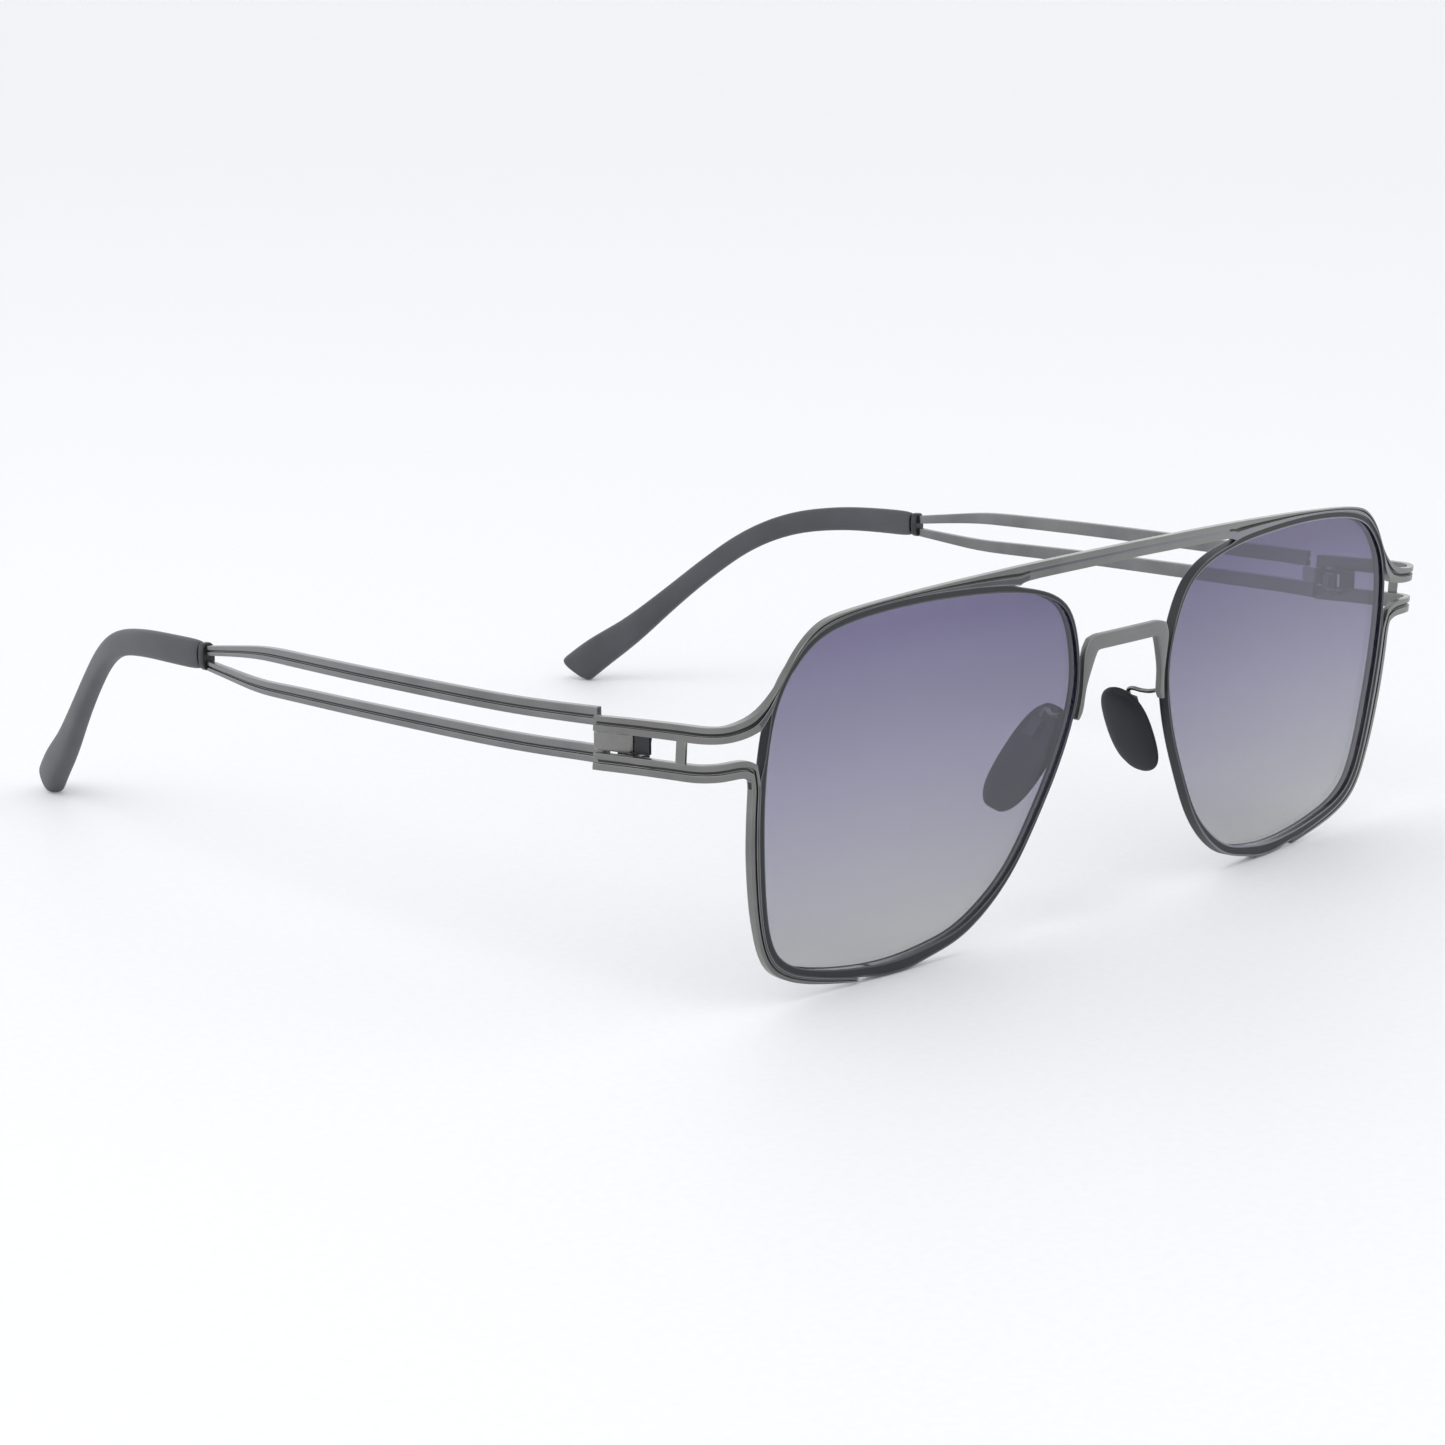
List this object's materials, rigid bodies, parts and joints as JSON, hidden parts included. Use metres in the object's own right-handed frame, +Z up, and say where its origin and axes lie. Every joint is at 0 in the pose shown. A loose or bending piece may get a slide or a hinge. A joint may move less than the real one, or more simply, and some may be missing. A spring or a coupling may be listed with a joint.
{
  "type": "aviator sunglasses",
  "caption": "Double-bridge aviator sunglasses with a flat-wire metal front, gradient lenses, nose pads on wire arms, and split-wire folding temples with soft tips.",
  "frame": {"origin": "centre of the bounding box in plan, on the table plane that the rims and temple tips stand on", "axes": "+Z up, -Y the way the lenses face, +X the wearer's left"},
  "size_m": [0.1414, 0.1548, 0.0472],
  "materials": {
    "gunmetal": "satin gunmetal plating on flat wire",
    "slate": "dark slate satin plating",
    "bridge_grey": "matt grey plating on flat sheet",
    "hinge_light": "bright satin spring sheet",
    "hinge_dark": "black oxide sheet",
    "lens_tint": "polished violet to grey gradient tint",
    "tip_rubber": "soft-touch matt",
    "collar_black": "semi-gloss black",
    "pad_silicone": "satin silicone",
    "core_steel": "plain spring steel, hidden"
  },
  "bodies": {
    "front": {"brow_frame": "gunmetal", "bridge_lower": "bridge_grey", "eyewire_left": "slate", "lens_left": "lens_tint", "lower_wire_left": "gunmetal", "crossbar_left": "gunmetal", "pad_arm_left": "gunmetal", "hinge_pin_left": "core_steel", "hinge_clip_left": "hinge_dark", "hinge_ear_left": "hinge_dark", "eyewire_right": "slate", "lens_right": "lens_tint", "lower_wire_right": "gunmetal", "crossbar_right": "gunmetal", "pad_arm_right": "gunmetal", "hinge_pin_right": "core_steel", "hinge_clip_right": "hinge_dark", "hinge_ear_right": "hinge_dark"},
    "temple_left": {"hinge_plate_left": "hinge_light", "hinge_block_left": "gunmetal", "temple_upper_left": "gunmetal", "temple_lower_left": "gunmetal", "collar_left": "collar_black", "tip_left": "tip_rubber", "tip_core_left": "core_steel"},
    "temple_right": {"hinge_plate_right": "hinge_light", "hinge_block_right": "gunmetal", "temple_upper_right": "gunmetal", "temple_lower_right": "gunmetal", "collar_right": "collar_black", "tip_right": "tip_rubber", "tip_core_right": "core_steel"},
    "pad_left": {"nose_pad_left": "pad_silicone", "pad_box_left": "hinge_dark"},
    "pad_right": {"nose_pad_right": "pad_silicone", "pad_box_right": "hinge_dark"}
  },
  "joints": [
    {"name": "temple_left_fold", "type": "hinge", "parent": "front", "child": "temple_left", "pos_m": [0.0679, -0.05915, 0.03104], "axis": [0, 0, 1], "range_deg": [0, 84]},
    {"name": "temple_right_fold", "type": "hinge", "parent": "front", "child": "temple_right", "pos_m": [-0.0679, -0.05915, 0.03104], "axis": [0, 0, -1], "range_deg": [0, 78]},
    {"name": "pad_left_rock", "type": "hinge", "parent": "front", "child": "pad_left", "pos_m": [0.00973, -0.06954, 0.02461], "axis": [-0.0922, 0.9814, 0.1683], "range_deg": [-5, 5]},
    {"name": "pad_right_rock", "type": "hinge", "parent": "front", "child": "pad_right", "pos_m": [-0.00973, -0.06954, 0.02461], "axis": [-0.0922, -0.9814, -0.1683], "range_deg": [-5, 5]}
  ]
}
